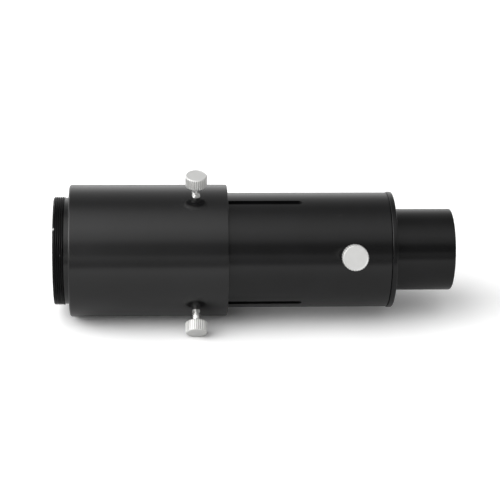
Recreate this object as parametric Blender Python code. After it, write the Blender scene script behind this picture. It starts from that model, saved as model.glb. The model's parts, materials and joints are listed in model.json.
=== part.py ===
"""Extendable telescope camera adapter, lying on its side at full reach.

Two black anodised tubes slide one in the other. The outer one, the camera sleeve, ends in a male
T-thread for a camera. The inner one, the barrel, ends in a 1.25 inch nosepiece for a telescope and
holds an eyepiece between them. Three fluted thumbscrews lock the slide and the eyepiece.

Metres, +Z up. +X runs along the tubes from the camera to the telescope, and -Y is the front. The
origin is the bottom centre of the whole adapter's box, on the surface that it lies on.
"""

import math

import bmesh
import bpy
from mathutils import Matrix, Vector

# Clearances between the pieces
SLIDE_GAP = 0.0003
FIT_GAP = 0.0003
THREAD_GAP = 0.0003
STOP_GAP = 0.0003

# Eyepiece socket, the bush inside the barrel that takes a 1.25 inch eyepiece
SOCKET_BORE_D = 0.0318
SOCKET_WALL = 0.0046
SOCKET_LENGTH = 0.0080
SOCKET_LEAD_IN = 0.0008

# Inner barrel, the tube that slides in the sleeve, and its two guide grooves
BARREL_WALL = 0.0015
BARREL_TRAVEL = 0.0394
BARREL_END_WALL = 0.0019
BARREL_CHAMFER = 0.0003
GROOVE_DEPTH = 0.0009
LOCK_TO_BARREL_END = 0.0151
LOCK_KNOB_TO_SLEEVE = 0.00265

# Camera sleeve, the outer tube
SLEEVE_WALL = 0.0029
SLEEVE_FRONT_CHAMFER = 0.0005
SLEEVE_REAR_CHAMFER = 0.0003
SLEEVE_LEAD_IN = 0.0006
SCREW_TO_SLEEVE_REAR = 0.01215

# T-thread ring, screwed into the front of the sleeve
T_THREAD_D = 0.0420
T_THREAD_LENGTH = 0.00425
T_THREAD_CHAMFER = 0.0004
T_NECK_DEPTH = 0.00045
T_NECK_LENGTH = 0.00175
T_RING_WALL = 0.0030
T_RING_DEPTH = 0.0055

# Nosepiece, screwed into the end of the barrel
NOSE_OD = 0.0317
NOSE_WALL = 0.0016
NOSE_LENGTH = 0.02325
NOSE_CHAMFER = 0.0006
NOSE_BORE_CHAMFER = 0.0004
FLANGE_LIP = 0.0003
FLANGE_THICKNESS = 0.0020
FLANGE_ROUND = 0.0006
FLANGE_SEAM_CHAMFER = 0.0003
SPIGOT_LENGTH = 0.0035
SPIGOT_WALL = 0.0016

# Sleeve thumbscrews, whose tips run in the grooves
SLEEVE_KNOB_D = 0.0082
SLEEVE_KNOB_HEIGHT = 0.0047
SLEEVE_KNOB_STANDOFF = 0.0046
SLEEVE_THREAD_D = 0.0030
SLEEVE_COLLAR_HEIGHT = 0.0024
SLEEVE_COLLAR_STEP = 0.0003
SLEEVE_TIP_STEP = 0.00055

# Eyepiece thumbscrew
LOCK_KNOB_D = 0.0098
LOCK_KNOB_HEIGHT = 0.0050
LOCK_KNOB_STANDOFF = 0.0054
LOCK_THREAD_D = 0.0040
LOCK_COLLAR_HEIGHT = 0.0022
LOCK_COLLAR_STEP = 0.0002
LOCK_TIP_STEP = 0.0005
LOCK_TIP_RECESS = 0.0004

# Fluting of all three knobs: how much of each flute's turn is ridge and how much is valley floor
FLUTES = 30
FLUTE_DEPTH = 0.00025
RIDGE_SHARE = 0.54
VALLEY_SHARE = 0.16
KNOB_CHAMFER = 0.0004
KNOB_BACK_CHAMFER = 0.0005

# The three thumbscrews point this far apart round the tubes
SCREW_SPACING = math.radians(60.0)

# A drill runs this far past the walls that it goes through
DRILL_OVERRUN = 0.0020

# Facets round the tubes, round a screw hole, on a groove's round end and on the flange's edge
TUBE_FACETS = 72
HOLE_FACETS = 24
GROOVE_END_FACETS = 10
FLANGE_ROUND_FACETS = 3
SHARP_ANGLE = math.radians(30.0)

# Radii that follow from the sizes above, from the socket's bore outwards
SOCKET_BORE_R = SOCKET_BORE_D / 2
SOCKET_R = SOCKET_BORE_R + SOCKET_WALL
BARREL_BORE_R = SOCKET_R + FIT_GAP
BARREL_R = BARREL_BORE_R + BARREL_WALL
GROOVE_FLOOR_R = BARREL_R - GROOVE_DEPTH
SLEEVE_BORE_R = BARREL_R + SLIDE_GAP
SLEEVE_R = SLEEVE_BORE_R + SLEEVE_WALL
SLEEVE_TIP_R = SLEEVE_THREAD_D / 2 - SLEEVE_TIP_STEP
GROOVE_R = SLEEVE_TIP_R + STOP_GAP

# Stations along the tubes, from the front face of the sleeve towards the telescope
BARREL_START = T_RING_DEPTH + STOP_GAP + BARREL_TRAVEL
GROOVE_START = BARREL_START + BARREL_END_WALL
SLEEVE_SCREW_X = GROOVE_START + GROOVE_R
SLEEVE_LENGTH = SLEEVE_SCREW_X + SCREW_TO_SLEEVE_REAR
GROOVE_END = SLEEVE_SCREW_X + BARREL_TRAVEL + GROOVE_R
LOCK_SCREW_X = SLEEVE_LENGTH + BARREL_TRAVEL + LOCK_KNOB_TO_SLEEVE + LOCK_KNOB_D / 2
BARREL_END = LOCK_SCREW_X + LOCK_TO_BARREL_END


def clear_scene():
    for obj in list(bpy.data.objects):
        bpy.data.objects.remove(obj, do_unlink=True)


def finish_material(name, colour, roughness, metallic):
    material = bpy.data.materials.new(name)
    material.use_nodes = True
    shader = material.node_tree.nodes["Principled BSDF"]
    shader.inputs["Base Color"].default_value = (*colour, 1.0)
    shader.inputs["Roughness"].default_value = roughness
    shader.inputs["Metallic"].default_value = metallic
    return material


def mesh_object(name, bm, axis, material=None):
    """Make a named object from a bmesh, carried by the empty on the tubes' axis."""
    bmesh.ops.recalc_face_normals(bm, faces=bm.faces)
    mesh = bpy.data.meshes.new(name)
    bm.to_mesh(mesh)
    bm.free()
    obj = bpy.data.objects.new(name, mesh)
    bpy.context.scene.collection.objects.link(obj)
    obj.parent = axis
    if material is None:
        obj.hide_render = True
        obj.display_type = "WIRE"
    else:
        mesh.materials.append(material)
        mesh.shade_smooth()
        mesh.set_sharp_from_angle(angle=SHARP_ANGLE)
    return obj


def turned(name, outline, axis, material):
    """Turn a closed outline of (station, radius) points round the tubes' axis."""
    bm = bmesh.new()
    points = [bm.verts.new((station, 0.0, -radius)) for station, radius in outline]
    edges = [bm.edges.new(pair) for pair in zip(points, points[1:] + points[:1])]
    bmesh.ops.spin(
        bm,
        geom=points + edges,
        cent=(0.0, 0.0, 0.0),
        axis=(1.0, 0.0, 0.0),
        angle=math.tau,
        steps=TUBE_FACETS,
        use_merge=True,
    )
    return mesh_object(name, bm, axis, material)


def outward(station, angle):
    """Place a local +Z on the line that leaves the axis at this angle above the front."""
    direction = Vector((0.0, -math.cos(angle), math.sin(angle)))
    across = Vector((1.0, 0.0, 0.0))
    turn = Matrix((across, direction.cross(across), direction)).transposed().to_4x4()
    return Matrix.Translation((station, 0.0, 0.0)) @ turn


def cut(target, cutter):
    modifier = target.modifiers.new("cut " + cutter.name, "BOOLEAN")
    modifier.operation = "DIFFERENCE"
    modifier.solver = "EXACT"
    modifier.object = cutter


def hole_cutter(name, axis, place, radius, low, high):
    """A drill along a screw's line, from one distance from the axis to another."""
    bm = bmesh.new()
    bmesh.ops.create_cone(
        bm,
        cap_ends=True,
        segments=HOLE_FACETS,
        radius1=radius,
        radius2=radius,
        depth=high - low,
        matrix=Matrix.Translation((0.0, 0.0, (low + high) / 2)),
    )
    cutter = mesh_object(name, bm, axis)
    cutter.matrix_local = place
    return cutter


def groove_cutter(name, axis, angle):
    """An end mill's path along the barrel, with its round ends and flat floor."""
    half_run = (GROOVE_END - GROOVE_START) / 2 - GROOVE_R
    bm = bmesh.new()
    outline = []
    for side in (1.0, -1.0):
        for step in range(GROOVE_END_FACETS + 1):
            sweep = math.pi * (step / GROOVE_END_FACETS - 0.5)
            x = side * (half_run + GROOVE_R * math.cos(sweep))
            y = side * GROOVE_R * math.sin(sweep)
            outline.append(bm.verts.new((x, y, GROOVE_FLOOR_R)))
    floor = bm.faces.new(outline)
    walls = bmesh.ops.extrude_face_region(bm, geom=[floor])
    raised = [item for item in walls["geom"] if isinstance(item, bmesh.types.BMVert)]
    bmesh.ops.translate(bm, verts=raised, vec=(0.0, 0.0, 2 * GROOVE_DEPTH))
    cutter = mesh_object(name, bm, axis)
    cutter.matrix_local = outward((GROOVE_START + GROOVE_END) / 2, angle)
    return cutter


def camera_sleeve(axis, material):
    outline = [
        (0.0, SLEEVE_R - SLEEVE_FRONT_CHAMFER),
        (SLEEVE_FRONT_CHAMFER, SLEEVE_R),
        (SLEEVE_LENGTH - SLEEVE_REAR_CHAMFER, SLEEVE_R),
        (SLEEVE_LENGTH, SLEEVE_R - SLEEVE_REAR_CHAMFER),
        (SLEEVE_LENGTH, SLEEVE_BORE_R + SLEEVE_LEAD_IN),
        (SLEEVE_LENGTH - SLEEVE_LEAD_IN, SLEEVE_BORE_R),
        (0.0, SLEEVE_BORE_R),
    ]
    return turned("camera_sleeve", outline, axis, material)


def t_thread_ring(axis, material):
    """The ring's plain outline: its thread stands at full height on the nose."""
    body_r = SLEEVE_BORE_R - FIT_GAP
    thread_r = T_THREAD_D / 2
    neck_r = thread_r - T_NECK_DEPTH
    bore_r = thread_r - T_RING_WALL
    nose = -T_NECK_LENGTH - T_THREAD_LENGTH
    outline = [
        (nose, thread_r - T_THREAD_CHAMFER),
        (nose + T_THREAD_CHAMFER, thread_r),
        (-T_NECK_LENGTH, thread_r),
        (-T_NECK_LENGTH, neck_r),
        (0.0, neck_r),
        (0.0, body_r),
        (T_RING_DEPTH, body_r),
        (T_RING_DEPTH, bore_r),
        (nose, bore_r),
    ]
    return turned("t_thread_ring", outline, axis, material)


def inner_barrel(axis, material):
    outline = [
        (BARREL_START, BARREL_R - BARREL_CHAMFER),
        (BARREL_START + BARREL_CHAMFER, BARREL_R),
        (BARREL_END - BARREL_CHAMFER, BARREL_R),
        (BARREL_END, BARREL_R - BARREL_CHAMFER),
        (BARREL_END, BARREL_BORE_R),
        (BARREL_START, BARREL_BORE_R),
    ]
    return turned("inner_barrel", outline, axis, material)


def eyepiece_socket(axis, material):
    front = LOCK_SCREW_X - SOCKET_LENGTH / 2
    back = front + SOCKET_LENGTH
    outline = [
        (front, SOCKET_BORE_R + SOCKET_LEAD_IN),
        (front, SOCKET_R),
        (back, SOCKET_R),
        (back, SOCKET_BORE_R),
        (front + SOCKET_LEAD_IN, SOCKET_BORE_R),
    ]
    return turned("eyepiece_socket", outline, axis, material)


def nosepiece(axis, material):
    """Spigot in the barrel, flange against its end, and the 1.25 inch tube beyond."""
    seat = BARREL_END + FIT_GAP
    shoulder = seat + FLANGE_THICKNESS
    end = shoulder + NOSE_LENGTH
    flange_r = BARREL_R + FLANGE_LIP
    nose_r = NOSE_OD / 2
    bore_r = nose_r - NOSE_WALL
    spigot_end = BARREL_END - SPIGOT_LENGTH
    spigot_r = BARREL_BORE_R - FIT_GAP
    outline = [
        (spigot_end, spigot_r - SPIGOT_WALL),
        (spigot_end, spigot_r),
        (seat, spigot_r),
        (seat, flange_r - FLANGE_SEAM_CHAMFER),
        (seat + FLANGE_SEAM_CHAMFER, flange_r),
    ]
    for step in range(FLANGE_ROUND_FACETS + 1):
        sweep = math.pi / 2 * step / FLANGE_ROUND_FACETS
        station = shoulder - FLANGE_ROUND * (1.0 - math.sin(sweep))
        outline.append((station, flange_r - FLANGE_ROUND * (1.0 - math.cos(sweep))))
    outline += [
        (shoulder, nose_r),
        (end - NOSE_CHAMFER, nose_r),
        (end, nose_r - NOSE_CHAMFER),
        (end, bore_r + NOSE_BORE_CHAMFER),
        (end - NOSE_BORE_CHAMFER, bore_r),
        (seat, bore_r),
        (seat, spigot_r - SPIGOT_WALL),
    ]
    return turned("nosepiece", outline, axis, material)


def fluted_ring(bm, radius, valley, height):
    """One ring of a knob, four points to a flute, dipping to the valley between ridges."""
    ridge_edge = RIDGE_SHARE / 2
    floor_edge = (1.0 - VALLEY_SHARE) / 2
    outline = (
        (-ridge_edge, radius),
        (ridge_edge, radius),
        (floor_edge, valley),
        (1.0 - floor_edge, valley),
    )
    ring = []
    for flute in range(FLUTES):
        for phase, r in outline:
            angle = math.tau * (flute + phase) / FLUTES
            ring.append(bm.verts.new((r * math.cos(angle), r * math.sin(angle), height)))
    return ring


def round_ring(bm, radius, height):
    """One ring of a screw's shank, with a point under each ridge of the knob."""
    ring = []
    for flute in range(FLUTES):
        angle = math.tau * flute / FLUTES
        ring.append(bm.verts.new((radius * math.cos(angle), radius * math.sin(angle), height)))
    return ring


def bridge(bm, low, high):
    for i in range(len(low)):
        j = (i + 1) % len(low)
        bm.faces.new((low[i], low[j], high[j], high[i]))


def thumbscrew(name, axis, material, place, shank, knob_r, knob_base, knob_top):
    """A turned thumbscrew: shank rings of (distance, radius) from its tip, then the knob."""
    bm = bmesh.new()
    rings = [round_ring(bm, radius, distance) for distance, radius in shank]
    bm.faces.new(list(reversed(rings[0])))
    for low, high in zip(rings, rings[1:]):
        bridge(bm, low, high)
    ridge = knob_r
    valley = knob_r - FLUTE_DEPTH
    back_r = knob_r - KNOB_BACK_CHAMFER
    face_r = knob_r - KNOB_CHAMFER
    knob = [
        fluted_ring(bm, back_r, back_r, knob_base),
        fluted_ring(bm, ridge, valley, knob_base + KNOB_BACK_CHAMFER),
        fluted_ring(bm, ridge, valley, knob_top - KNOB_CHAMFER),
        fluted_ring(bm, face_r, face_r, knob_top),
    ]
    neck = rings[-1]
    for flute in range(FLUTES):
        here = neck[flute]
        there = neck[(flute + 1) % FLUTES]
        edge = [knob[0][(4 * flute + step) % (4 * FLUTES)] for step in range(1, 6)]
        bm.faces.new((here, edge[1], edge[0]))
        bm.faces.new((here, there, edge[2], edge[1]))
        bm.faces.new((there, edge[3], edge[2]))
        bm.faces.new((there, edge[4], edge[3]))
    for low, high in zip(knob, knob[1:]):
        bridge(bm, low, high)
    bm.faces.new(knob[-1])
    screw = mesh_object(name, bm, axis, material)
    screw.matrix_local = place
    return screw


def sleeve_screw(name, axis, material, angle):
    """Its tip lies in a groove of the barrel, and its thread is in the sleeve's wall."""
    thread_r = SLEEVE_THREAD_D / 2
    collar_r = thread_r + SLEEVE_COLLAR_STEP
    knob_base = SLEEVE_R + SLEEVE_KNOB_STANDOFF
    collar_base = knob_base - SLEEVE_COLLAR_HEIGHT
    shank = [
        (GROOVE_FLOOR_R + FIT_GAP, SLEEVE_TIP_R),
        (SLEEVE_BORE_R, SLEEVE_TIP_R),
        (SLEEVE_BORE_R + SLEEVE_TIP_STEP, thread_r),
        (collar_base, thread_r),
        (collar_base, collar_r),
        (knob_base, collar_r),
    ]
    place = outward(SLEEVE_SCREW_X, angle)
    knob_top = knob_base + SLEEVE_KNOB_HEIGHT
    return thumbscrew(name, axis, material, place, shank, SLEEVE_KNOB_D / 2, knob_base, knob_top)


def eyepiece_screw(name, axis, material, angle):
    """It runs through the barrel's wall and the socket, and its tip stops short of the bore."""
    thread_r = LOCK_THREAD_D / 2
    collar_r = thread_r + LOCK_COLLAR_STEP
    tip_end = SOCKET_BORE_R + LOCK_TIP_RECESS
    knob_base = BARREL_R + LOCK_KNOB_STANDOFF
    collar_base = knob_base - LOCK_COLLAR_HEIGHT
    shank = [
        (tip_end, thread_r - LOCK_TIP_STEP),
        (tip_end + LOCK_TIP_STEP, thread_r),
        (collar_base, thread_r),
        (collar_base, collar_r),
        (knob_base, collar_r),
    ]
    place = outward(LOCK_SCREW_X, angle)
    knob_top = knob_base + LOCK_KNOB_HEIGHT
    return thumbscrew(name, axis, material, place, shank, LOCK_KNOB_D / 2, knob_base, knob_top)


def resting_angle():
    """How far below level the lower sleeve screw points once its knob is on the surface.

    The sleeve touches the surface, and so does one of the two edges of the knob's chamfer.
    """
    knob_r = SLEEVE_KNOB_D / 2
    knob_top = SLEEVE_R + SLEEVE_KNOB_STANDOFF + SLEEVE_KNOB_HEIGHT
    edges = ((knob_top, knob_r - KNOB_CHAMFER), (knob_top - KNOB_CHAMFER, knob_r))
    angles = []
    for reach, radius in edges:
        angles.append(math.asin(SLEEVE_R / math.hypot(reach, radius)) - math.atan2(radius, reach))
    return min(angles)


def stand_on_surface(axis, pieces):
    """Move the whole adapter until the origin is the bottom centre of its box."""
    bpy.context.view_layer.update()
    points = [piece.matrix_world @ vertex.co for piece in pieces for vertex in piece.data.vertices]
    low = [min(point[i] for point in points) for i in range(3)]
    high = [max(point[i] for point in points) for i in range(3)]
    axis.location = (-(low[0] + high[0]) / 2, -(low[1] + high[1]) / 2, -low[2])


def build():
    clear_scene()
    anodised = finish_material("black_anodised_aluminium", (0.030, 0.030, 0.031), 0.38, 0.0)
    threaded = finish_material("black_anodised_thread", (0.012, 0.012, 0.012), 0.45, 0.0)
    plated = finish_material("nickel_plated_steel", (0.72, 0.71, 0.70), 0.30, 1.0)

    axis = bpy.data.objects.new("tube_axis", None)
    bpy.context.scene.collection.objects.link(axis)

    lower = -resting_angle()
    middle = lower + SCREW_SPACING
    upper = middle + SCREW_SPACING

    sleeve = camera_sleeve(axis, anodised)
    ring = t_thread_ring(axis, threaded)
    barrel = inner_barrel(axis, anodised)
    socket = eyepiece_socket(axis, anodised)
    nose = nosepiece(axis, anodised)

    screws = []
    drill_r = SLEEVE_THREAD_D / 2 + THREAD_GAP
    drill_low = SLEEVE_BORE_R - DRILL_OVERRUN
    drill_high = SLEEVE_R + DRILL_OVERRUN
    for word, angle in (("upper", upper), ("lower", lower)):
        screws.append(sleeve_screw(word + "_sleeve_screw", axis, plated, angle))
        place = outward(SLEEVE_SCREW_X, angle)
        drill = hole_cutter(word + "_drill", axis, place, drill_r, drill_low, drill_high)
        cut(sleeve, drill)
        cut(barrel, groove_cutter(word + "_mill", axis, angle))

    screws.append(eyepiece_screw("eyepiece_lock_screw", axis, plated, middle))
    place = outward(LOCK_SCREW_X, middle)
    drill_r = LOCK_THREAD_D / 2 + THREAD_GAP
    drill_low = SOCKET_BORE_R - DRILL_OVERRUN
    drill_high = BARREL_R + DRILL_OVERRUN
    drill = hole_cutter("lock_drill", axis, place, drill_r, drill_low, drill_high)
    cut(barrel, drill)
    cut(socket, drill)

    stand_on_surface(axis, [sleeve, ring, barrel, socket, nose, *screws])


build()
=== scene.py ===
"""Looks of the extendable telescope camera adapter, as it lies at full reach.

Metres, +Z up. +X runs along the tubes from the camera to the telescope, and -Y is the front. Each
piece is a finely turned mesh that stands for one solid of the frame and rides on its body.
"""

import json
import math

import bmesh
import bpy
from mathutils import Matrix, Vector


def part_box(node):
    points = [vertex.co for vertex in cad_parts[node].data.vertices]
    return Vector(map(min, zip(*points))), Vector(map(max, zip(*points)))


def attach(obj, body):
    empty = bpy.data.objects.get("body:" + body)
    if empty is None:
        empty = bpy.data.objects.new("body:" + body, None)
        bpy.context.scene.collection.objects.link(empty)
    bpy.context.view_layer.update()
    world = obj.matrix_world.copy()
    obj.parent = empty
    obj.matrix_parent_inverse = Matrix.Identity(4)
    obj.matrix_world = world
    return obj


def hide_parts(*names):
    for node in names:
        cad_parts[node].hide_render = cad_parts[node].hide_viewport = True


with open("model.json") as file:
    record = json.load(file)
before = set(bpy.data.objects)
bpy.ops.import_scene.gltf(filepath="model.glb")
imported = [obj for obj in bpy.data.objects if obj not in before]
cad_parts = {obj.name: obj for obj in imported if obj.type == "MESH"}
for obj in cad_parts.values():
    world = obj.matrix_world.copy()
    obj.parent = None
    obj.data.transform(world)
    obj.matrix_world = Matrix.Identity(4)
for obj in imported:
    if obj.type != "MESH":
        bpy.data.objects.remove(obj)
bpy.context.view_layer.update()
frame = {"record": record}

MM = 0.001

# Places and outer sizes that the frame gives
sleeve_low, sleeve_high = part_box("camera_sleeve")
ring_low, ring_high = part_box("t_thread_ring")
barrel_low, barrel_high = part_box("inner_barrel")
socket_low, socket_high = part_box("eyepiece_socket")
nose_low, nose_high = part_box("nosepiece")
AXIS = (sleeve_low + sleeve_high) / 2
SLEEVE_R = (sleeve_high.z - sleeve_low.z) / 2
BARREL_R = (barrel_high.z - barrel_low.z) / 2
FLANGE_R = (nose_high.z - nose_low.z) / 2

# Joints by the body that each moves, and how far the barrel slides in
JOINTS = {joint["child"]: joint for joint in frame["record"]["behaviour"]["joints"]}
BARREL_TRAVEL = -min(JOINTS["barrel"]["range_m"])

# Play between the two tubes that slide, and the hairline where two tubes are screwed together
SLIDE_PLAY = 0.3 * MM
HAIRLINE = 0.03 * MM

# Radii that the boxes do not give
SLEEVE_BORE_R = BARREL_R + SLIDE_PLAY
THREAD_R = 21.0 * MM
RING_NECK_R = 20.55 * MM
RING_BORE_R = 18.0 * MM
BARREL_BORE_R = 20.8 * MM
GROOVE_FLOOR_R = 21.4 * MM
SOCKET_BORE_R = 15.9 * MM
SPIGOT_BORE_R = 18.9 * MM
NOSE_R = 15.85 * MM
NOSE_BORE_R = 14.25 * MM

# Lengths along the pieces
RING_NECK_LENGTH = 1.75 * MM
RING_THREAD_CHAMFER = 0.4 * MM
SLEEVE_FRONT_CHAMFER = 0.5 * MM
SLEEVE_REAR_ROUND = 0.3 * MM
SLEEVE_LEAD_IN = 0.6 * MM
BARREL_ROUND = 0.3 * MM
BARREL_SEAM_CHAMFER = 0.25 * MM
SOCKET_LEAD_IN = 0.8 * MM
FLANGE_THICKNESS = 2.0 * MM
FLANGE_ROUND = 0.6 * MM
FLANGE_SEAM_CHAMFER = 0.2 * MM
SPIGOT_LENGTH = 3.8 * MM
NOSE_LENGTH = 23.25 * MM
NOSE_ROUND = 0.6 * MM
NOSE_BORE_CHAMFER = 0.4 * MM
FILTER_THREAD_LENGTH = 4.5 * MM

# The grooves that the sleeve screws run in
GROOVE_R = 1.25 * MM
GROOVE_RUN = BARREL_TRAVEL + 2 * GROOVE_R

# Tapped holes and their countersinks
SLEEVE_HOLE_R = 1.6 * MM
LOCK_HOLE_R = 2.1 * MM
COUNTERSINK = 0.15 * MM

# Threads: pitches, the depth as a share of the pitch, the flat crest and the flat root as shares of
# half a pitch, and the stations along one pitch
T_PITCH = 0.75 * MM
FILTER_PITCH = 0.6 * MM
THREAD_DEPTH_SHARE = 0.6
THREAD_CREST_SHARE = 0.16
THREAD_ROOT_SHARE = 0.18
THREAD_STEPS = 8

# What the thumbscrews share. A thin rim stands proud of the knob's face by one step, and the flat
# face has rings of points at these shares of the knob's radius.
TIP_CHAMFER = 0.2 * MM
COLLAR_CHAMFER = 0.15 * MM
RELIEF_DEPTH = 0.5 * MM
KNOB_CHAMFER = 0.4 * MM
KNOB_RIM = 0.5 * MM
KNOB_STEP = 0.08 * MM
FACE_RINGS = (0.5, 0.1)

# Thumbscrews: distances of tip and top from the tubes' axis, then the screw's own sizes. The relief
# is where a groove round the shank starts and ends below the knob.
SLEEVE_SCREW = {
    "tip": 21.7 * MM,
    "top": 34.8 * MM,
    "knob_r": 4.1 * MM,
    "knob_height": 4.7 * MM,
    "face_chamfer": KNOB_CHAMFER,
    "collar_r": 1.8 * MM,
    "collar_height": 2.4 * MM,
    "shank_r": 1.5 * MM,
    "pitch": 0.5 * MM,
    "tip_r": 0.95 * MM,
    "plain_tip": 1.45 * MM,
    "relief": (3.2 * MM, 3.9 * MM),
}
LOCK_SCREW = {
    "tip": 16.3 * MM,
    "top": 32.7 * MM,
    "knob_r": 4.9 * MM,
    "knob_height": 5.0 * MM,
    "face_chamfer": 0.25 * MM,
    "collar_r": 2.2 * MM,
    "collar_height": 2.2 * MM,
    "shank_r": 2.0 * MM,
    "pitch": 0.7 * MM,
    "tip_r": 1.5 * MM,
    "plain_tip": 0.5 * MM,
    "relief": (4.1 * MM, 4.8 * MM),
}

# Flutes round a knob: their number and depth, the floor and the flank as shares of half a flute, and
# the facets round one flute
FLUTES = 30
FLUTE_DEPTH = 0.25 * MM
VALLEY_SHARE = 0.3
FLANK_SHARE = 0.3
FLUTE_STEPS = 16

# Points of a chamfer with eased corners, as shares of it: back from the end, and down from the
# surface
EASED_CHAMFER = ((1.2, 0.0), (0.85, 0.15), (0.15, 0.85), (0.0, 1.2))

# Facets round a tube, round a screw's hole and round a groove's end
TUBE_FACETS = 216
HOLE_FACETS = 48
GROOVE_END_FACETS = 20

# Shading: the bend from which an edge is sharp, how far from a corner a straight stretch is held
# straight, and how long a stretch needs that
SHARP_ANGLE = math.radians(28.0)
HOLD = 0.12 * MM
LONG_STRETCH = 4 * HOLD

# Material slots of a tube, after that of its outside: its inside, and the thread ring's plain neck
# and spigot
INSIDE, NECK = 1, 2

# Marks on the tubes: station, degrees above the front, radius, and the colour that is bared
NICK = (ring_low.x + 0.15 * MM, 48.0, 0.7 * MM, "e8e8e8")
FAINT_KNOCK = (ring_low.x + 3.0 * MM, 20.0, 0.4 * MM, "505050")
FAINT_SCRATCH = (32.0 * MM, 61.0, 0.5 * MM, "1c1c1c")

# A mark is bare within this share of its radius, and fades out from there
MARK_CORE = 0.4

# How strongly each tube mirrors the studio, matched to the photograph. The barrel and the nosepiece
# mirror less, partly for a duller finish and partly as painted shade for the light that falls off
# towards the right.
SLEEVE_GLOSS = 0.5
BARREL_GLOSS_AND_SHADE = 0.38
NOSE_GLOSS_AND_SHADE = 0.31

# Pattern sizes: the tool's feed outside and inside, the skin's grain, the dye's slow change, the
# nickel's grain and its faint clouding. The real grains are finer: these are as fine as can show.
FEED = 0.3 * MM
BORE_FEED = 0.4 * MM
SKIN_GRAIN = 0.35 * MM
DYE_PATCH = 14.0 * MM
NICKEL_GRAIN = 0.25 * MM
NICKEL_CLOUD = 2.5 * MM

# Finishes of a thumbscrew in the order of its material slots: its place, lowest and highest
# roughness, and two tones. The floors of the flutes are toned darker as painted shade, because they
# are too narrow in the picture to look shaded by their depth alone.
NICKEL = (
    ("turned", (0.24, 0.32), ("e8e8e6", "f0f0ef")),
    ("faced", (0.56, 0.68), ("dcdcda", "e4e4e3")),
    ("fluted", (0.52, 0.62), ("e6e6e4", "eeeeed")),
    ("floors of the flutes", (0.6, 0.7), ("cacac8", "d4d4d2")),
)
FACED, RIDGE, SHADED_FLUTE_FLOOR = 1, 2, 3


def outward(station, direction):
    """Place a local +Z on the line that leaves the tubes' axis in this direction."""
    across = Vector((1.0, 0.0, 0.0))
    turn = Matrix((across, direction.cross(across), direction)).transposed().to_4x4()
    return Matrix.Translation((station, AXIS.y, AXIS.z)) @ turn


def along_tubes():
    """Place a local +Z on the tubes' axis, so that a turned outline keeps its world stations."""
    turn = Matrix(((0.0, 0.0, 1.0), (0.0, 1.0, 0.0), (-1.0, 0.0, 0.0))).to_4x4()
    return Matrix.Translation((0.0, AXIS.y, AXIS.z)) @ turn


def on_tube(station, radius, above_front):
    """The point on a tube at this station, so many degrees above the front."""
    angle = math.radians(above_front)
    return Vector((station, AXIS.y - radius * math.cos(angle), AXIS.z + radius * math.sin(angle)))


def mark_on(tube_r, mark):
    """Where a mark lies on a tube of this radius, with its own radius and bared colour."""
    station, above_front, mark_r, bared = mark
    return on_tube(station, tube_r, above_front), mark_r, bared


def finished(name, bm, place, materials):
    """Make a smooth object from a bmesh whose points are moved to their place in the frame."""
    bm.transform(place)
    bmesh.ops.recalc_face_normals(bm, faces=bm.faces)
    mesh = bpy.data.meshes.new(name)
    bm.to_mesh(mesh)
    bm.free()
    mesh.shade_smooth()
    mesh.set_sharp_from_angle(angle=SHARP_ANGLE)
    for material in materials:
        mesh.materials.append(material)
    piece = bpy.data.objects.new(name, mesh)
    bpy.context.scene.collection.objects.link(piece)
    return piece


def held(outline, closed):
    """Add a point beside each corner of a long straight stretch, so that it is shaded straight."""
    points = []
    ends = outline[1:] + outline[:1] if closed else outline[1:]
    for start, end in zip(outline, ends):
        points.append(start)
        length = math.dist(start, end)
        if length > LONG_STRETCH:
            for share in (HOLD / length, 1.0 - HOLD / length):
                points.append(tuple(a + (b - a) * share for a, b in zip(start, end)))
    return points if closed else [*points, outline[-1]]


def turned(outline, facets, form=None, closed=True):
    """Turn (distance, radius) points round local Z.

    form(distance, radius, angle), where there is one, gives the radius at that angle.
    """
    bm = bmesh.new()
    rings = []
    for distance, radius in held(outline, closed):
        ring = []
        for step in range(facets):
            angle = math.tau * step / facets
            r = form(distance, radius, angle) if form else radius
            ring.append(bm.verts.new((r * math.cos(angle), r * math.sin(angle), distance)))
        rings.append(ring)
    pairs = list(zip(rings, rings[1:] + rings[:1])) if closed else list(zip(rings, rings[1:]))
    for low, high in pairs:
        for i in range(facets):
            j = (i + 1) % facets
            bm.faces.new((low[i], low[j], high[j], high[i]))
    if not closed:
        bm.faces.new(list(reversed(rings[0])))
        bm.faces.new(rings[-1])
    return bm


def rounded(corner, radius, start, end, steps=4):
    """An arc of outline points round this centre, from one angle in degrees to the other."""
    points = []
    for step in range(steps + 1):
        angle = math.radians(start + (end - start) * step / steps)
        points.append((corner[0] + radius * math.cos(angle), corner[1] + radius * math.sin(angle)))
    return points


def eased(end, radius, chamfer, side):
    """A chamfered edge whose two corners are eased. side is 1 at a far end and -1 at a near one."""
    points = [
        (end - side * back * chamfer, radius - down * chamfer) for back, down in EASED_CHAMFER
    ]
    return points if side > 0 else points[::-1]


def thread_depth(distance, angle, pitch):
    """How deep a 60 degree thread is at this place: flat crests, flanks and flat roots."""
    phase = (distance / pitch - angle / math.tau) % 1.0
    from_crest = abs(phase - 0.5) * 2.0
    flank = (from_crest - THREAD_CREST_SHARE) / (1.0 - THREAD_CREST_SHARE - THREAD_ROOT_SHARE)
    return THREAD_DEPTH_SHARE * pitch * min(max(flank, 0.0), 1.0)


def threaded_stations(start, end, pitch):
    """Evenly spaced stations, several to a pitch, from one end of a thread to the other."""
    count = max(2, round((end - start) / pitch * THREAD_STEPS))
    return [start + (end - start) * step / count for step in range(count + 1)]


def flute_depth(angle):
    """How deep a flute is at this angle: a flat floor, a flank on each side, and flat ridges."""
    phase = (angle * FLUTES / math.tau) % 1.0
    from_valley = abs(phase - 0.5) * 2.0
    climb = min(max((from_valley - VALLEY_SHARE) / FLANK_SHARE, 0.0), 1.0)
    return FLUTE_DEPTH * (1.0 - climb)


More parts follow.
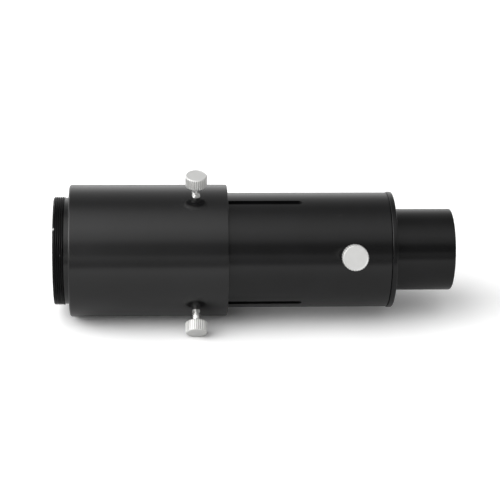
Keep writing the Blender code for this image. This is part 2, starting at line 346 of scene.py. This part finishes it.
def carve(piece, cutter):
    """Take the cutter's shape out of the piece for good, and drop the cutter."""
    modifier = piece.modifiers.new("cut", "BOOLEAN")
    modifier.operation = "DIFFERENCE"
    modifier.solver = "EXACT"
    modifier.object = cutter
    graph = bpy.context.evaluated_depsgraph_get()
    carved = bpy.data.meshes.new_from_object(piece.evaluated_get(graph))
    piece.modifiers.clear()
    piece.data = carved
    carved.set_sharp_from_angle(angle=SHARP_ANGLE)
    bpy.data.objects.remove(cutter, do_unlink=True)


def drilled(piece, place, radius, surface_r, inner_r):
    """Drill a screw's hole through one wall, with a small countersink at the surface."""
    outline = [
        (inner_r, radius),
        (surface_r - COUNTERSINK, radius),
        (surface_r + COUNTERSINK, radius + 2 * COUNTERSINK),
    ]
    drill = finished("drill", turned(outline, HOLE_FACETS, closed=False), place, [])
    carve(piece, drill)


def groove_cutter(place, run):
    """An end mill's path along the barrel, with its round ends and flat floor."""
    bm = bmesh.new()
    outline = []
    for side in (1.0, -1.0):
        for step in range(GROOVE_END_FACETS + 1):
            sweep = math.pi * (step / GROOVE_END_FACETS - 0.5)
            x = side * (run / 2 - GROOVE_R + GROOVE_R * math.cos(sweep))
            outline.append(bm.verts.new((x, side * GROOVE_R * math.sin(sweep), GROOVE_FLOOR_R)))
    floor = bm.faces.new(outline)
    walls = bmesh.ops.extrude_face_region(bm, geom=[floor])
    raised = [item for item in walls["geom"] if isinstance(item, bmesh.types.BMVert)]
    bmesh.ops.translate(bm, verts=raised, vec=(0.0, 0.0, 2 * (BARREL_R - GROOVE_FLOOR_R)))
    return finished("mill", bm, place, [])


def linear(code):
    """Turn an sRGB hex value to the linear colour that a shader takes."""
    channels = [int(code[i:i + 2], 16) / 255 for i in (0, 2, 4)]
    return (*[c / 12.92 if c <= 0.04045 else ((c + 0.055) / 1.055) ** 2.4 for c in channels], 1.0)


def put(tree, kind, sockets=None, **settings):
    """Add a node: settings are its own properties, sockets its inputs, as values or as links."""
    made = tree.nodes.new(kind)
    for key, value in settings.items():
        setattr(made, key, value)
    for key, value in (sockets or {}).items():
        if isinstance(value, bpy.types.NodeSocket):
            tree.links.new(value, made.inputs[key])
        else:
            made.inputs[key].default_value = value
    return made


def empty_material(name):
    """A new material with no nodes, and its node tree."""
    material = bpy.data.materials.new(name)
    material.use_nodes = True
    material.node_tree.nodes.clear()
    return material, material.node_tree


def close_material(tree, shader):
    """Let the shader give the material's surface."""
    put(tree, "ShaderNodeOutputMaterial", {"Surface": shader.outputs[0]})


def marked(tree, spot, colour, marks):
    """Lighten a colour in small soft spots, where (place, radius, hex colour) says."""
    for place, radius, bared in marks:
        away = put(
            tree,
            "ShaderNodeVectorMath",
            {0: spot, 1: tuple(place)},
            operation="DISTANCE",
        )
        share = put(
            tree,
            "ShaderNodeMapRange",
            {
                "Value": away.outputs["Value"],
                "From Min": radius,
                "From Max": MARK_CORE * radius,
            },
        )
        mix = put(
            tree,
            "ShaderNodeMix",
            {"Factor": share.outputs[0], "A": colour, "B": linear(bared)},
            data_type="RGBA",
        )
        colour = mix.outputs["Result"]
    return colour


def turned_anodised(name, specular, marks=()):
    """Aluminium, finish turned and black anodised.

    The dye leaves a near-black skin under a clear, sealed gloss. It mirrors the studio crisply
    round the tube, and the tool's fine feed marks smear that mirror image a little along the tube.
    """
    material, tree = empty_material(name)
    spot = put(tree, "ShaderNodeTexCoord").outputs["Object"]
    station = put(tree, "ShaderNodeSeparateXYZ", {"Vector": spot}).outputs["X"]
    ring = put(tree, "ShaderNodeMath", {0: station, 1: 1.0 / FEED}, operation="MULTIPLY")
    feed = put(
        tree,
        "ShaderNodeTexNoise",
        {"W": ring.outputs[0], "Scale": 1.0, "Detail": 3.0, "Roughness": 0.6},
        noise_dimensions="1D",
    )
    grain = put(
        tree,
        "ShaderNodeTexNoise",
        {"Vector": spot, "Scale": 1.0 / SKIN_GRAIN, "Detail": 2.0, "Roughness": 0.7},
    )
    dye = put(
        tree,
        "ShaderNodeTexNoise",
        {"Vector": spot, "Scale": 1.0 / DYE_PATCH, "Detail": 3.0, "Roughness": 0.55},
    )
    shade = put(
        tree,
        "ShaderNodeMath",
        {0: grain.outputs["Fac"], 1: 0.5, 2: dye.outputs["Fac"]},
        operation="MULTIPLY_ADD",
    )
    share = put(
        tree,
        "ShaderNodeMapRange",
        {"Value": shade.outputs[0], "From Min": 0.55, "From Max": 0.95},
    )
    black = put(
        tree,
        "ShaderNodeMix",
        {"Factor": share.outputs[0], "A": linear("060606"), "B": linear("0c0c0d")},
        data_type="RGBA",
    )
    colour = marked(tree, spot, black.outputs["Result"], marks)
    gloss = put(
        tree,
        "ShaderNodeMapRange",
        {
            "Value": feed.outputs["Fac"],
            "From Min": 0.3,
            "From Max": 0.7,
            "To Min": 0.18,
            "To Max": 0.22,
        },
    )
    rise = put(
        tree,
        "ShaderNodeMath",
        {0: feed.outputs["Fac"], 1: 0.6, 2: grain.outputs["Fac"]},
        operation="MULTIPLY_ADD",
    )
    bump = put(
        tree,
        "ShaderNodeBump",
        {"Strength": 0.3, "Distance": 0.002 * MM, "Height": rise.outputs[0]},
    )
    round_tube = put(tree, "ShaderNodeTangent", direction_type="RADIAL", axis="X")
    shader = put(
        tree,
        "ShaderNodeBsdfPrincipled",
        {
            "Base Color": colour,
            "Roughness": gloss.outputs[0],
            "Specular IOR Level": specular,
            "Anisotropic": 0.4,
            "Anisotropic Rotation": 0.25,
            "Tangent": round_tube.outputs[0],
            "Normal": bump.outputs[0],
        },
    )
    close_material(tree, shader)
    return material


def cut_thread_anodised(marks):
    """Aluminium with a thread cut in it, black anodised.

    Its gloss is turned down as painted shade for the light that the flanks trap, so it is blacker
    than the tube, with thin grey crests, and a knock has bared the metal at the front edge.
    """
    material, tree = empty_material("black anodised aluminium, thread cut")
    spot = put(tree, "ShaderNodeTexCoord").outputs["Object"]
    grain = put(
        tree,
        "ShaderNodeTexNoise",
        {"Vector": spot, "Scale": 1.0 / SKIN_GRAIN, "Detail": 3.0, "Roughness": 0.6},
    )
    black = put(
        tree,
        "ShaderNodeMix",
        {"Factor": grain.outputs["Fac"], "A": linear("080808"), "B": linear("101011")},
        data_type="RGBA",
    )
    colour = marked(tree, spot, black.outputs["Result"], marks)
    gloss = put(
        tree,
        "ShaderNodeMapRange",
        {"Value": grain.outputs["Fac"], "To Min": 0.26, "To Max": 0.38},
    )
    bump = put(
        tree,
        "ShaderNodeBump",
        {"Strength": 0.3, "Distance": 0.004 * MM, "Height": grain.outputs["Fac"]},
    )
    shader = put(
        tree,
        "ShaderNodeBsdfPrincipled",
        {
            "Base Color": colour,
            "Roughness": gloss.outputs[0],
            # painted shade: a weak gloss for the light that the thread's flanks trap
            "Specular IOR Level": 0.25,
            "Normal": bump.outputs[0],
        },
    )
    close_material(tree, shader)
    return material


def bored_anodised():
    """Aluminium, bored and black anodised: the rougher inside of the tubes, dull against glare."""
    material, tree = empty_material("black anodised aluminium, bored")
    spot = put(tree, "ShaderNodeTexCoord").outputs["Object"]
    station = put(tree, "ShaderNodeSeparateXYZ", {"Vector": spot}).outputs["X"]
    ring = put(tree, "ShaderNodeMath", {0: station, 1: 1.0 / BORE_FEED}, operation="MULTIPLY")
    feed = put(
        tree,
        "ShaderNodeTexNoise",
        {"W": ring.outputs[0], "Scale": 1.0, "Detail": 2.0},
        noise_dimensions="1D",
    )
    colour = put(
        tree,
        "ShaderNodeMix",
        {"Factor": feed.outputs["Fac"], "A": linear("0a0a0a"), "B": linear("141415")},
        data_type="RGBA",
    )
    gloss = put(
        tree,
        "ShaderNodeMapRange",
        {"Value": feed.outputs["Fac"], "To Min": 0.48, "To Max": 0.62},
    )
    bump = put(
        tree,
        "ShaderNodeBump",
        {"Strength": 0.5, "Distance": 0.01 * MM, "Height": feed.outputs["Fac"]},
    )
    shader = put(
        tree,
        "ShaderNodeBsdfPrincipled",
        {
            "Base Color": colour.outputs["Result"],
            "Roughness": gloss.outputs[0],
            "Specular IOR Level": 0.3,
            "Normal": bump.outputs[0],
        },
    )
    close_material(tree, shader)
    return material


def plated_nickel(name, sheen, tones):
    """Steel, nickel plated: a pale satin silver with a fine even grain.

    The turned neck mirrors the studio and the black tube in crisp bright and dark arcs. The faced
    ends scatter the light to an even pale grey, and so do the ridges between the flutes. The floors
    of the flutes are painted darker as painted shade and draw thin grey lines.
    """
    material, tree = empty_material(name)
    spot = put(tree, "ShaderNodeTexCoord").outputs["Object"]
    grain = put(
        tree,
        "ShaderNodeTexNoise",
        {"Vector": spot, "Scale": 1.0 / NICKEL_GRAIN, "Detail": 3.0, "Roughness": 0.65},
    )
    cloud = put(
        tree,
        "ShaderNodeTexNoise",
        {"Vector": spot, "Scale": 1.0 / NICKEL_CLOUD, "Detail": 2.0},
    )
    colour = put(
        tree,
        "ShaderNodeMix",
        {"Factor": cloud.outputs["Fac"], "A": linear(tones[0]), "B": linear(tones[1])},
        data_type="RGBA",
    )
    gloss = put(
        tree,
        "ShaderNodeMapRange",
        {"Value": grain.outputs["Fac"], "To Min": sheen[0], "To Max": sheen[1]},
    )
    bump = put(
        tree,
        "ShaderNodeBump",
        {"Strength": 0.35, "Distance": 0.008 * MM, "Height": grain.outputs["Fac"]},
    )
    shader = put(
        tree,
        "ShaderNodeBsdfPrincipled",
        {
            "Base Color": colour.outputs["Result"],
            "Metallic": 1.0,
            "Roughness": gloss.outputs[0],
            "Normal": bump.outputs[0],
        },
    )
    close_material(tree, shader)
    return material


def skin_where(piece, slot_index, inside):
    """Give the faces whose station and distance from the axis pass the test another material."""
    for face in piece.data.polygons:
        from_axis = math.hypot(face.center.y - AXIS.y, face.center.z - AXIS.z)
        if inside(face.center.x, from_axis):
            face.material_index = slot_index


def camera_sleeve(outer, bore, screw_places):
    """The outer tube: a chamfered front, a rounded rear with a lead-in, and its screws' holes."""
    front, rear = sleeve_low.x, sleeve_high.x
    edge = SLEEVE_REAR_ROUND
    outline = [
        *eased(front, SLEEVE_R, SLEEVE_FRONT_CHAMFER, -1),
        *rounded((rear - edge, SLEEVE_R - edge), edge, 90.0, 0.0),
        (rear, SLEEVE_BORE_R + SLEEVE_LEAD_IN),
        (rear - SLEEVE_LEAD_IN, SLEEVE_BORE_R),
        (front, SLEEVE_BORE_R),
    ]
    piece = finished("sleeve_tube", turned(outline, TUBE_FACETS), along_tubes(), [outer, bore])
    for place in screw_places:
        drilled(piece, place, SLEEVE_HOLE_R, SLEEVE_R, BARREL_R)
    skin_where(piece, INSIDE, lambda x, r: r < SLEEVE_BORE_R + HAIRLINE)
    return piece


def t_thread_ring(thread, bore, outer):
    """The ring in the sleeve's front: the male thread, the neck behind it and the spigot."""
    end = ring_low.x
    seat = sleeve_low.x
    thread_end = seat - RING_NECK_LENGTH
    spigot_r = SLEEVE_BORE_R - HAIRLINE
    outline = [(end, THREAD_R - RING_THREAD_CHAMFER)]
    stations = threaded_stations(end, thread_end, T_PITCH)
    outline += [(station, THREAD_R) for station in stations[1:-1]]
    outline += [
        (thread_end, RING_NECK_R),
        (seat, RING_NECK_R),
        (seat, spigot_r),
        (ring_high.x, spigot_r),
        (ring_high.x, RING_BORE_R),
        (end, RING_BORE_R),
    ]

    def form(distance, radius, angle):
        if radius != THREAD_R:
            return radius
        lead_in = THREAD_R - RING_THREAD_CHAMFER + (distance - end)
        return min(THREAD_R - thread_depth(distance, angle, T_PITCH), lead_in)

    bm = turned(outline, TUBE_FACETS, form)
    piece = finished("t_thread_nose", bm, along_tubes(), [thread, bore, outer])
    skin_where(piece, INSIDE, lambda x, r: r < RING_BORE_R + HAIRLINE)
    skin_where(piece, NECK, lambda x, r: x > thread_end and r > RING_NECK_R - HAIRLINE)
    return piece


def inner_barrel(outer, bore, groove_directions, lock_place):
    """The sliding tube, with a milled groove for each sleeve screw and the eyepiece screw's hole."""
    start = barrel_low.x
    end = nose_high.x - NOSE_LENGTH - FLANGE_THICKNESS - HAIRLINE
    edge = BARREL_ROUND
    outline = [
        *rounded((start + edge, BARREL_R - edge), edge, 180.0, 90.0),
        *eased(end, BARREL_R, BARREL_SEAM_CHAMFER, 1),
        (end, BARREL_BORE_R),
        (start, BARREL_BORE_R),
    ]
    piece = finished("barrel_tube", turned(outline, TUBE_FACETS), along_tubes(), [outer, bore])

    # At full reach each sleeve screw stands at the camera end of its groove
    middle = JOINTS["upper_screw"]["pos_m"][0] + BARREL_TRAVEL / 2
    for direction in groove_directions:
        carve(piece, groove_cutter(outward(middle, direction), GROOVE_RUN))
    drilled(piece, lock_place, LOCK_HOLE_R, BARREL_R, SOCKET_BORE_R)
    skin_where(piece, INSIDE, lambda x, r: r < BARREL_BORE_R + HAIRLINE)
    return piece


def eyepiece_socket(bore, lock_place):
    """The bush in the barrel that centres an eyepiece. Its hole is drilled from the open bore out."""
    front, back = socket_low.x, socket_high.x
    outer_r = BARREL_BORE_R - HAIRLINE
    outline = [
        (front, SOCKET_BORE_R + SOCKET_LEAD_IN),
        (front, outer_r),
        (back, outer_r),
        (back, SOCKET_BORE_R),
        (front + SOCKET_LEAD_IN, SOCKET_BORE_R),
    ]
    piece = finished("eyepiece_bush", turned(outline, TUBE_FACETS), along_tubes(), [bore])
    drilled(piece, lock_place, LOCK_HOLE_R, BARREL_R, SOCKET_BORE_R / 2)
    return piece


def nosepiece(outer, bore):
    """The spigot, the flange and the nose in one turned piece, with a filter thread in its end."""
    end = nose_high.x
    shoulder = end - NOSE_LENGTH
    seat = shoulder - FLANGE_THICKNESS
    spigot_r = BARREL_BORE_R - HAIRLINE
    thread_start = end - NOSE_BORE_CHAMFER - FILTER_THREAD_LENGTH
    outline = [
        (seat - SPIGOT_LENGTH, SPIGOT_BORE_R),
        (seat - SPIGOT_LENGTH, spigot_r),
        (seat, spigot_r),
        *eased(seat, FLANGE_R, FLANGE_SEAM_CHAMFER, -1),
        *rounded((shoulder - FLANGE_ROUND, FLANGE_R - FLANGE_ROUND), FLANGE_ROUND, 90.0, 0.0),
        (shoulder, NOSE_R),
        *rounded((end - NOSE_ROUND, NOSE_R - NOSE_ROUND), NOSE_ROUND, 90.0, 0.0),
        (end, NOSE_BORE_R + NOSE_BORE_CHAMFER),
    ]
    stations = threaded_stations(thread_start, end - NOSE_BORE_CHAMFER, FILTER_PITCH)
    outline += [(station, NOSE_BORE_R) for station in reversed(stations)]
    outline += [(seat, NOSE_BORE_R), (seat, SPIGOT_BORE_R)]

    def form(distance, radius, angle):
        if radius != NOSE_BORE_R or distance <= thread_start:
            return radius
        return radius + thread_depth(distance, angle, FILTER_PITCH)

    bm = turned(outline, TUBE_FACETS, form)
    piece = finished("nosepiece_tube", bm, along_tubes(), [outer, bore])
    skin_where(piece, INSIDE, lambda x, r: r < NOSE_BORE_R + FILTER_PITCH)
    return piece


def thumbscrew(name, finishes, joint, screw):
    """A turned screw: threaded shank, collar, and a fluted knob with a thin rim round its face."""
    tip, top, tip_r, shank_r = screw["tip"], screw["top"], screw["tip_r"], screw["shank_r"]
    knob_r, collar_r, pitch = screw["knob_r"], screw["collar_r"], screw["pitch"]
    base = top - screw["knob_height"]
    collar = base - screw["collar_height"]
    thread_start = tip + screw["plain_tip"]
    relief_high, relief_low = (base - depth for depth in screw["relief"])
    face = top - KNOB_STEP
    outline = [(tip, tip_r - TIP_CHAMFER), (tip + TIP_CHAMFER, tip_r)]
    if screw["plain_tip"] > shank_r - tip_r:
        outline.append((thread_start - (shank_r - tip_r), tip_r))
    outline += [(place, shank_r) for place in threaded_stations(thread_start, collar, pitch)]
    outline += [
        (collar, collar_r - COLLAR_CHAMFER),
        (collar + COLLAR_CHAMFER, collar_r),
        (base, collar_r),
        *eased(base, knob_r, KNOB_CHAMFER, -1),
        *eased(top, knob_r, screw["face_chamfer"], 1),
        (top, knob_r - KNOB_RIM),
        (face, knob_r - KNOB_RIM - KNOB_STEP),
        *[(face, knob_r * share) for share in FACE_RINGS],
    ]

    def form(distance, radius, angle):
        if radius == shank_r and relief_low < distance < relief_high:
            return radius - RELIEF_DEPTH
        if radius == shank_r and thread_start < distance < collar:
            return radius - thread_depth(distance, angle, pitch)
        return min(radius, knob_r - flute_depth(angle))

    bm = turned(outline, FLUTES * FLUTE_STEPS, form, closed=False)
    for mesh_face in bm.faces:
        middle = mesh_face.calc_center_median()
        if middle.z > top - screw["face_chamfer"]:
            mesh_face.material_index = FACED
        elif middle.z > base + KNOB_CHAMFER:
            # painted shade: the floors of the flutes take darker tones than the ridges
            in_flute = middle.xy.length < knob_r - FLUTE_DEPTH / 2
            mesh_face.material_index = SHADED_FLUTE_FLOOR if in_flute else RIDGE
    place = outward(joint["pos_m"][0], Vector(joint["axis"]))
    return finished(name, bm, place, finishes)


# The paper: its colour to soft light, and how bright it is exposed at the left and at the right,
# because the light comes from the left. Gloss sees it dimmer, most of all below the tubes, which
# shade it. Far in front, where the paper lies in shade, gloss sees half of that.
PAPER = 0.80
PAPER_SEEN_LEFT = 1.15
PAPER_SEEN_RIGHT = 1.12
GLOSS_SEES_AHEAD = 0.74
GLOSS_SEES_BELOW = 0.54
PAPER_AHEAD_Y = -0.13
PAPER_BELOW_Y = 0.0
PAPER_LEFT_X = -0.06
PAPER_RIGHT_X = 0.10
PAPER_SHADE = 0.5
PAPER_SHADE_FROM = -0.30
PAPER_SHADE_TO = -0.34
PAPER_FIBRE = 1.5 * MM
PAPER_HALF_SIDE = 6.0


def studio_floor():
    """White paper under the object: the camera sees it exposed to white, and gloss sees it dimmer."""
    material, tree = empty_material("white paper")
    spot = put(tree, "ShaderNodeTexCoord").outputs["Object"]
    place = put(tree, "ShaderNodeSeparateXYZ", {"Vector": spot}).outputs
    fibre = put(tree, "ShaderNodeTexNoise", {"Vector": spot, "Scale": 1.0 / PAPER_FIBRE})
    ray = put(tree, "ShaderNodeLightPath").outputs
    seen = put(
        tree,
        "ShaderNodeMath",
        {0: ray["Is Camera Ray"], 1: ray["Is Glossy Ray"]},
        operation="MAXIMUM",
    )
    seen = put(
        tree,
        "ShaderNodeMath",
        {0: seen.outputs[0], 1: ray["Is Transmission Ray"]},
        operation="MAXIMUM",
    )
    falloff = put(
        tree,
        "ShaderNodeMapRange",
        {
            "Value": place["X"],
            "From Min": PAPER_LEFT_X,
            "From Max": PAPER_RIGHT_X,
            "To Min": PAPER_SEEN_LEFT,
            "To Max": PAPER_SEEN_RIGHT,
        },
    )
    shade = put(
        tree,
        "ShaderNodeMapRange",
        {
            "Value": place["Y"],
            "From Min": PAPER_SHADE_FROM,
            "From Max": PAPER_SHADE_TO,
            "To Min": 1.0,
            "To Max": PAPER_SHADE,
        },
    )
    near_dimmed = put(
        tree,
        "ShaderNodeMapRange",
        {
            "Value": place["Y"],
            "From Min": PAPER_AHEAD_Y,
            "From Max": PAPER_BELOW_Y,
            "To Min": GLOSS_SEES_AHEAD,
            "To Max": GLOSS_SEES_BELOW,
        },
    )
    mirrored = put(
        tree,
        "ShaderNodeMath",
        {0: near_dimmed.outputs[0], 1: shade.outputs[0]},
        operation="MULTIPLY",
    )
    dimmed = put(
        tree,
        "ShaderNodeMapRange",
        {"Value": ray["Is Camera Ray"], "To Min": mirrored.outputs[0], "To Max": 1.0},
    )
    exposed = put(
        tree,
        "ShaderNodeMath",
        {0: falloff.outputs[0], 1: dimmed.outputs[0]},
        operation="MULTIPLY",
    )
    level = put(
        tree,
        "ShaderNodeMix",
        {"Factor": seen.outputs[0], "A": PAPER, "B": exposed.outputs[0]},
        data_type="FLOAT",
    )
    bump = put(
        tree,
        "ShaderNodeBump",
        {"Strength": 0.05, "Distance": 0.01 * MM, "Height": fibre.outputs["Fac"]},
    )
    shader = put(
        tree,
        "ShaderNodeBsdfDiffuse",
        {"Color": level.outputs["Result"], "Normal": bump.outputs[0]},
    )
    close_material(tree, shader)
    bm = bmesh.new()
    half = PAPER_HALF_SIDE
    corners = [(-half, -half), (half, -half), (half, half), (-half, half)]
    bm.faces.new([bm.verts.new((x, y, 0.0)) for x, y in corners])
    mesh = bpy.data.meshes.new("floor")
    bm.to_mesh(mesh)
    bm.free()
    mesh.materials.append(material)
    floor = bpy.data.objects.new("floor", mesh)
    bpy.context.scene.collection.objects.link(floor)


# The studio round the tubes: degrees over the top from the front horizon, and how bright it is
STUDIO = (
    (-180.0, 0.50),
    (0.0, 0.46),
    (8.0, 0.55),
    (14.0, 0.62),
    (17.0, 0.21),
    (34.0, 0.20),
    (41.0, 0.55),
    (46.0, 0.80),
    (54.0, 0.93),
    (64.0, 1.13),
    (80.0, 0.98),
    (96.0, 0.64),
    (106.0, 0.46),
    (118.0, 0.40),
    (130.0, 0.50),
    (144.0, 0.66),
    (162.0, 1.08),
    (180.0, 1.15),
)

# The colour ramp holds those levels as shares of this one
STUDIO_BRIGHTEST = 2.0

# How the studio darkens towards the right, as a share, between these parts of a direction along X
RIGHT_DARKENING = 0.28
RIGHT_FROM = 0.05
RIGHT_TO = 0.20

# Bright walls at the left: strength, and the parts of a direction along X at which each starts and
# is full. They reach from a little behind the object round to the front, and up from the horizon.
WALLS = ((1.8, (0.08, -0.40)), (1.8, (-0.50, -0.85)))
WALL_Y = (0.45, 0.0)
WALL_Z = (0.0, 0.35)
WHITE = (1.0, 1.0, 1.0, 1.0)


def studio_light():
    """Soft light from all round: a softbox overhead, a dim gap in front, two bright walls at left."""
    world = bpy.data.worlds.new("studio")
    world.use_nodes = True
    tree = world.node_tree
    tree.nodes.clear()
    way = put(tree, "ShaderNodeTexCoord").outputs["Generated"]
    parts = put(tree, "ShaderNodeSeparateXYZ", {"Vector": way}).outputs
    front = put(tree, "ShaderNodeMath", {0: parts["Y"], 1: -1.0}, operation="MULTIPLY")
    over = put(
        tree,
        "ShaderNodeMath",
        {0: parts["Z"], 1: front.outputs[0]},
        operation="ARCTAN2",
    )
    share = put(
        tree,
        "ShaderNodeMapRange",
        {"Value": over.outputs[0], "From Min": -math.pi, "From Max": math.pi},
    )
    ramp = put(tree, "ShaderNodeValToRGB", {"Fac": share.outputs[0]})
    stops = ramp.color_ramp.elements
    while len(stops) < len(STUDIO):
        stops.new(0.5)
    for stop, (angle, level) in zip(stops, STUDIO):
        stop.position = (angle + 180.0) / 360.0
        stop.color = (*[level / STUDIO_BRIGHTEST] * 3, 1.0)
    side = put(
        tree,
        "ShaderNodeMapRange",
        {
            "Value": parts["X"],
            "From Min": RIGHT_FROM,
            "From Max": RIGHT_TO,
            "To Min": STUDIO_BRIGHTEST,
            "To Max": STUDIO_BRIGHTEST * (1.0 - RIGHT_DARKENING),
        },
        interpolation_type="SMOOTHSTEP",
    )
    light = put(
        tree,
        "ShaderNodeBackground",
        {"Color": ramp.outputs["Color"], "Strength": side.outputs[0]},
    )
    for wall, span in WALLS:
        strength = wall
        for part, (start, full) in (("X", span), ("Y", WALL_Y), ("Z", WALL_Z)):
            step = put(
                tree,
                "ShaderNodeMapRange",
                {"Value": parts[part], "From Min": start, "From Max": full, "To Max": strength},
                interpolation_type="SMOOTHSTEP",
            )
            strength = step.outputs[0]
        lit = put(tree, "ShaderNodeBackground", {"Color": WHITE, "Strength": strength})
        light = put(tree, "ShaderNodeAddShader", {0: light.outputs[0], 1: lit.outputs[0]})
    put(tree, "ShaderNodeOutputWorld", {"Surface": light.outputs[0]})
    bpy.context.scene.world = world


# Camera: the station that it stands opposite, and the one that it aims at, a little below the
# tubes' axis. The lens and the sensor are in millimetres, as Blender takes them.
CAMERA_FOOT_X = -41.8 * MM
CAMERA_AIM_X = -1.3 * MM
CAMERA_AIM_DROP = 0.03 * MM
CAMERA_DISTANCE = 688.0 * MM
CAMERA_ELEVATION = math.radians(25.15)
CAMERA_ROLL = math.radians(0.236)
CAMERA_LENS = 127.3
CAMERA_SENSOR = 36.0
CAMERA_NEAREST = 0.01
CAMERA_FARTHEST = 20.0


def photograph_camera():
    """Level with the tubes' axis in the picture, at the photograph's angle."""
    away = Vector((0.0, -math.cos(CAMERA_ELEVATION), math.sin(CAMERA_ELEVATION)))
    place = Vector((CAMERA_FOOT_X, AXIS.y, AXIS.z)) + away * CAMERA_DISTANCE
    target = Vector((CAMERA_AIM_X, AXIS.y, AXIS.z - CAMERA_AIM_DROP))
    forward = (target - place).normalized()
    up = Vector((1.0, 0.0, 0.0)).cross(forward).normalized()
    right = forward.cross(up)
    turn = Matrix((right, up, -forward)).transposed().to_4x4()
    data = bpy.data.cameras.new("camera")
    data.lens = CAMERA_LENS
    data.sensor_width = CAMERA_SENSOR
    data.clip_start = CAMERA_NEAREST
    data.clip_end = CAMERA_FARTHEST
    camera = bpy.data.objects.new("camera", data)
    camera.matrix_world = Matrix.Translation(place) @ turn @ Matrix.Rotation(-CAMERA_ROLL, 4, "Z")
    bpy.context.scene.collection.objects.link(camera)
    bpy.context.scene.camera = camera


def dress():
    """Make each piece in its finish, hide the solid it stands for, and hang it on its body."""
    sleeve_skin = turned_anodised("black anodised aluminium, sleeve, turned", SLEEVE_GLOSS)
    barrel_skin = turned_anodised(
        "black anodised aluminium, barrel, turned",
        BARREL_GLOSS_AND_SHADE,
        [mark_on(BARREL_R, FAINT_SCRATCH)],
    )
    nose_skin = turned_anodised("black anodised aluminium, nosepiece, turned", NOSE_GLOSS_AND_SHADE)
    thread_skin = cut_thread_anodised([mark_on(THREAD_R, mark) for mark in (NICK, FAINT_KNOCK)])
    bore_skin = bored_anodised()
    finishes = [
        plated_nickel(f"nickel plated steel, {where}", sheen, tones) for where, sheen, tones in NICKEL
    ]

    upper, lower, lock = (JOINTS[body] for body in ("upper_screw", "lower_screw", "lock_screw"))
    sleeve_places = [outward(joint["pos_m"][0], Vector(joint["axis"])) for joint in (upper, lower)]
    lock_place = outward(lock["pos_m"][0], Vector(lock["axis"]))
    grooves = [Vector(upper["axis"]), Vector(lower["axis"])]

    pieces = [
        (camera_sleeve(sleeve_skin, bore_skin, sleeve_places), "camera_sleeve", "sleeve"),
        (t_thread_ring(thread_skin, bore_skin, sleeve_skin), "t_thread_ring", "sleeve"),
        (inner_barrel(barrel_skin, bore_skin, grooves, lock_place), "inner_barrel", "barrel"),
        (eyepiece_socket(bore_skin, lock_place), "eyepiece_socket", "barrel"),
        (nosepiece(nose_skin, bore_skin), "nosepiece", "barrel"),
    ]
    screws = (
        ("upper_sleeve_screw", upper, SLEEVE_SCREW, "upper_screw"),
        ("lower_sleeve_screw", lower, SLEEVE_SCREW, "lower_screw"),
        ("eyepiece_lock_screw", lock, LOCK_SCREW, "lock_screw"),
    )
    for node, joint, screw, body in screws:
        name = node.replace("screw", "thumbscrew")
        piece = thumbscrew(name, finishes, joint, screw)
        pieces.append((piece, node, body))
    bpy.context.view_layer.update()
    for piece, node, body in pieces:
        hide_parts(node)
        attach(piece, body)


dress()
studio_floor()
studio_light()
photograph_camera()
bpy.context.scene.view_settings.view_transform = "Standard"
